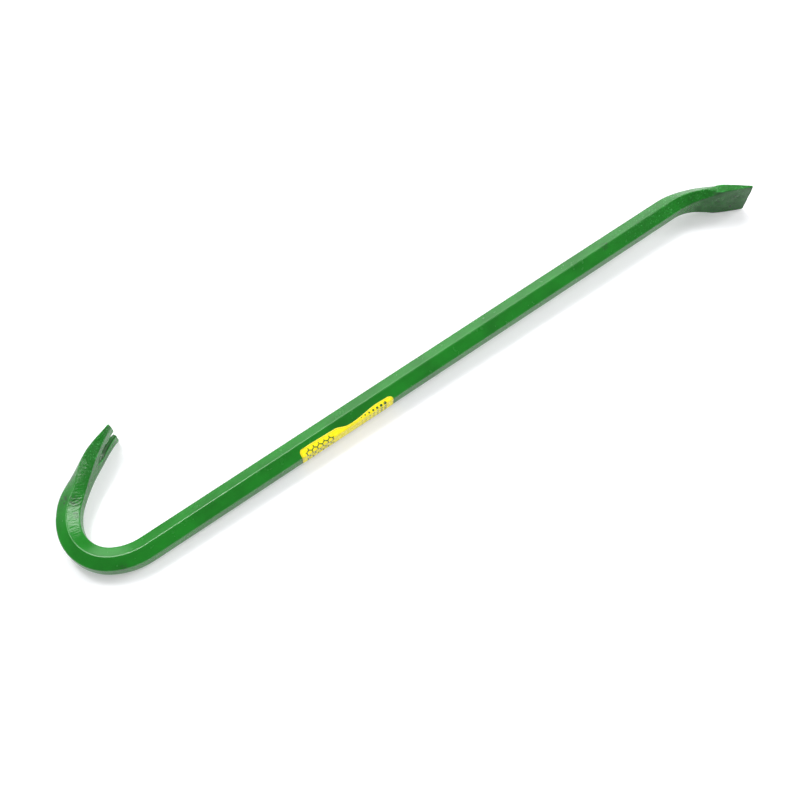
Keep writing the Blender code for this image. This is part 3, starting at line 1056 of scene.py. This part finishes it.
def honeycomb(tree, u, v):
    """Lines between hexagonal cells: each point takes the nearer of two staggered rows of cells."""
    first = hexagon_distance(tree, repeat(tree, u, CELL_WIDTH), repeat(tree, v, CELL_HEIGHT))
    moved_u = repeat(tree, calculate(tree, "ADD", u, CELL_WIDTH / 2), CELL_WIDTH)
    moved_v = repeat(tree, calculate(tree, "ADD", v, CELL_HEIGHT / 2), CELL_HEIGHT)
    second = hexagon_distance(tree, moved_u, moved_v)
    nearest = calculate(tree, "MINIMUM", first, second)
    lines = between(tree, nearest, (CELL_WIDTH - CELL_LINE) / 2, CELL_WIDTH)
    inside_v = between(tree, v, -HONEYCOMB_UP, HONEYCOMB_UP)
    inside_u = between(tree, u, HONEYCOMB_FROM, HONEYCOMB_TO)
    return multiply(tree, lines, inside_v, inside_u)


# %% Rows of dots
DOT_PITCH = 0.0036
DOTS_FROM = 0.0108
DOTS_TO = 0.0360
DOTS_UP = 0.0090
DOT_SMALL = 0.0004
DOT_LARGE = 0.0013


def dot_size(tree, u):
    """The dots' radius, which grows along the label."""
    span = add_node(tree, "MapRange", i0=u, i1=DOTS_FROM, i2=DOTS_TO, i3=DOT_SMALL, i4=DOT_LARGE)
    return span.outputs[0]


def dot_rows(tree, u, v):
    across = repeat(tree, u, DOT_PITCH)
    upward = repeat(tree, calculate(tree, "ADD", v, DOT_PITCH / 2), DOT_PITCH)
    both = add_node(tree, "CombineXYZ", X=across, Y=upward).outputs["Vector"]
    away = add_node(tree, "VectorMath", {"operation": "LENGTH"}, i0=both).outputs["Value"]
    inside = calculate(tree, "SUBTRACT", dot_size(tree, u), away)
    dots = ramp(tree, inside, -PRINT_BLUR, PRINT_BLUR)
    inside_u = between(tree, u, DOTS_FROM, DOTS_TO)
    inside_v = between(tree, v, -DOTS_UP, DOTS_UP)
    return multiply(tree, dots, inside_u, inside_v)


# %% [markdown]
# Film that has been handled is scuffed where it bends over a corner, its colour has gone dull in
# patches, and its edge holds a little dirt. The print is worn by the same scuffs. Bump gives a
# slight ripple from sticking it on.

# %% Colour of the film
FILM = (0.985, 0.845, 0.008, 1.0)
FILM_WORN = (0.900, 0.780, 0.070, 1.0)
INK = (0.030, 0.110, 0.030, 1.0)
GREY_INK = (0.300, 0.270, 0.060, 1.0)
TIRED = (90.0, 4.0, 0.6)
TIRED_STEP = (0.58, 0.85)
BORDER_FROM = 0.0007
BORDER_TO = 0.00105
BORDER_INK = 0.5
BENT_FROM = 0.0049
BENT_TO = 0.0055
BENT_SHARE = 0.7
GRIME_REACH = 0.0004
GRIME_SHARE = 0.2


def film_colour(tree, place, scuff):
    flat = add_node(tree, "UVMap", {"uv_map": "film"}).outputs["UV"]
    u = along_axis(tree, flat, "X")
    v = along_axis(tree, flat, "Y")
    edge = add_node(tree, "Attribute", {"attribute_name": "from_edge"}).outputs["Fac"]
    whole = calculate(tree, "SUBTRACT", 1.0, scuff)

    tired = ramp(tree, noise_value(tree, place, *TIRED), *TIRED_STEP)
    film = blend_colours(tree, tired, FILM, FILM_WORN)
    border = multiply(tree, whole, BORDER_INK, between(tree, edge, BORDER_FROM, BORDER_TO))
    film = blend_colours(tree, border, film, GREY_INK)
    for motif in (honeycomb, dot_rows):
        film = blend_colours(tree, multiply(tree, motif(tree, u, v), whole), film, INK)
    corner = between(tree, calculate(tree, "ABSOLUTE", v), BENT_FROM, BENT_TO)
    film = blend_colours(tree, multiply(tree, scuff, BENT_SHARE, corner), film, FILM_WORN)
    grime = multiply(tree, ramp(tree, edge, GRIME_REACH, 0.0), GRIME_SHARE)
    return blend_colours(tree, grime, film, GREY_INK)


# %% Finish the film
SCUFFS = (700.0, 3.0, 0.7)
SCUFF_STEP = (0.56, 0.72)
FILM_ROUGHNESS = 0.27
SCUFF_ROUGHNESS = 0.18
RIPPLE = (210.0, 3.0, 0.5)
RIPPLE_STRENGTH = 0.5
RIPPLE_DEPTH = 0.0004


def finish_film(piece):
    material, tree, shader = new_material("yellow_film")
    place = add_node(tree, "TexCoord").outputs["Object"]
    scuff = ramp(tree, noise_value(tree, place, *SCUFFS), *SCUFF_STEP)
    tree.links.new(film_colour(tree, place, scuff), shader.inputs["Base Color"])
    dull = calculate(tree, "ADD", multiply(tree, scuff, SCUFF_ROUGHNESS), FILM_ROUGHNESS)
    tree.links.new(dull, shader.inputs["Roughness"])
    ripple = bump(tree, noise_value(tree, place, *RIPPLE), RIPPLE_STRENGTH, RIPPLE_DEPTH)
    tree.links.new(ripple, shader.inputs["Normal"])
    piece.data.materials.append(material)
    return len(tree.nodes)


print("film nodes:", finish_film(label))

# %% [markdown]
# ## Measure and finish
#
# The dressed bar must stay inside the box of the solid.

# %% Compare the boxes and finish
dressed_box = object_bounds()
for name, (low, high) in (("solid", solid_box), ("dressed", dressed_box)):
    print(name, [round(1000 * (top - bottom), 2) for bottom, top in zip(low, high)], "mm")
